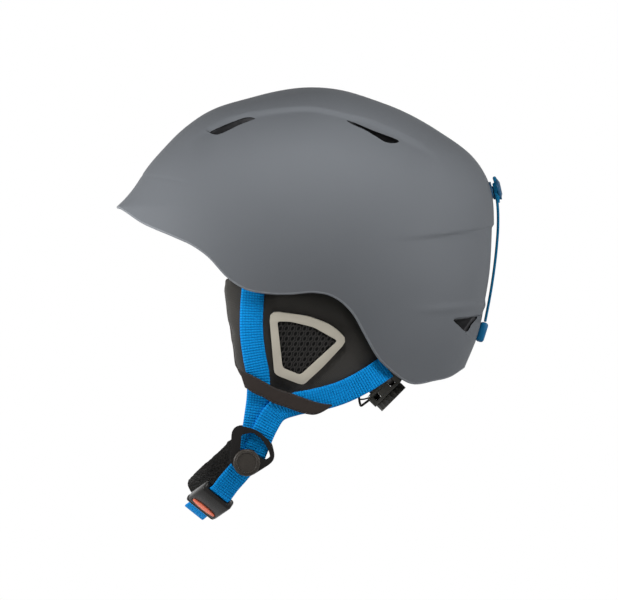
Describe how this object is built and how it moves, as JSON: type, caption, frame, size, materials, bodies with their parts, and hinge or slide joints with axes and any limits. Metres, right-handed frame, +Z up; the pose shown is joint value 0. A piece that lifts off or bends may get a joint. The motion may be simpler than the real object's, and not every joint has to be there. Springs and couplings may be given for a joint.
{
  "type": "ski helmet",
  "caption": "Ski helmet with a vented hard shell, foam liner, soft ear pads, chin webbing with a release buckle, a nape fit dial and a goggle retainer.",
  "frame": {"origin": "underside of the crown pad, where the top of the head sits", "axes": "-X to the front, -Y to the wearer's left, +Z up"},
  "size_m": [0.2929, 0.214, 0.3291],
  "materials": {
    "shell": "matte, finely textured",
    "foam": "moulded foam",
    "pad_cloth": "brushed cloth over foam",
    "fleece": "fleece",
    "frame_plastic": "satin, pale",
    "mesh_cloth": "open mesh",
    "binding": "coated cloth",
    "webbing": "woven",
    "black_plastic": "satin",
    "button_plastic": "satin",
    "steel": "plated",
    "elastic": "braided",
    "blue_plastic": "satin"
  },
  "bodies": {
    "helmet": {"outer_shell": "shell", "foam_liner": "foam", "crown_pad": "pad_cloth", "brow_pad": "pad_cloth", "side_pad_left": "pad_cloth", "side_pad_right": "pad_cloth", "nape_pad": "pad_cloth", "ear_pad_left": "pad_cloth", "ear_pad_right": "pad_cloth", "ear_frame_left": "frame_plastic", "ear_frame_right": "frame_plastic", "ear_mesh_left": "mesh_cloth", "ear_mesh_right": "mesh_cloth", "ear_band_left": "binding", "ear_band_right": "binding", "front_strap_left": "webbing", "front_strap_right": "webbing", "rear_strap_left": "webbing", "rear_strap_right": "webbing", "front_anchor_left": "black_plastic", "front_anchor_right": "black_plastic", "rear_anchor_left": "black_plastic", "rear_anchor_right": "black_plastic", "strap_ring_left": "black_plastic", "strap_ring_right": "black_plastic", "ring_stud_left": "black_plastic", "ring_stud_right": "black_plastic", "fit_base": "black_plastic", "fit_cover": "black_plastic", "fit_hanger": "black_plastic", "fit_screw_left": "steel", "fit_screw_right": "steel", "retainer_hook": "blue_plastic", "retainer_anchor": "blue_plastic"},
    "chin_strap": {"chin_strap_left": "webbing", "chin_strap_right": "webbing", "chin_pad": "fleece", "buckle_housing": "black_plastic", "release_spring": "steel"},
    "buckle_tongue": {"buckle_tongue": "black_plastic"},
    "release_button": {"release_button": "button_plastic"},
    "fit_dial": {"fit_dial": "black_plastic", "fit_pinion": "black_plastic"},
    "fit_band_left": {"fit_band_left": "black_plastic"},
    "fit_band_right": {"fit_band_right": "black_plastic"},
    "retainer_cord": {"retainer_cord": "elastic"}
  },
  "joints": [
    {"name": "chin_strap_swing", "type": "hinge", "parent": "helmet", "child": "chin_strap", "pos_m": [-0.0555, 0, -0.247], "axis": [0, 1, 0], "range_deg": [-45, 50]},
    {"name": "buckle_tongue_slide", "type": "slide", "parent": "chin_strap", "child": "buckle_tongue", "axis": [-0.4099, 0.8658, -0.2869], "range_m": [0, 0.022], "deforming": ["chin_strap_right"]},
    {"name": "release_button_press", "type": "slide", "parent": "chin_strap", "child": "release_button", "axis": [0.49, 0.4744, 0.7314], "range_m": [0, 0.001], "stiffness_N_per_m": 800, "deforming": ["release_spring"]},
    {"name": "fit_dial_turn", "type": "hinge", "parent": "helmet", "child": "fit_dial", "pos_m": [0.0458, 0, -0.1892], "axis": [-0.7071, 0, 0.7071], "range_deg": [0, 120]},
    {"name": "fit_band_left_turn", "type": "hinge", "parent": "helmet", "child": "fit_band_left", "pos_m": [0.00065, 0, -0.14405], "axis": [0.7071, 0, 0.7071], "range_deg": [0, 9]},
    {"name": "fit_band_right_turn", "type": "hinge", "parent": "helmet", "child": "fit_band_right", "pos_m": [0.00065, 0, -0.14405], "axis": [0.7071, 0, 0.7071], "range_deg": [-9, 0]},
    {"name": "retainer_swing", "type": "hinge", "parent": "helmet", "child": "retainer_cord", "pos_m": [0.12219, 0, -0.13989], "axis": [0, 1, 0], "range_deg": [0, 70], "deforming": ["retainer_cord"]}
  ],
  "couplings": [
    {"joint": "fit_band_left_turn", "follows": "fit_dial_turn", "ratio": 0.074286},
    {"joint": "fit_band_right_turn", "follows": "fit_dial_turn", "ratio": -0.074286}
  ]
}
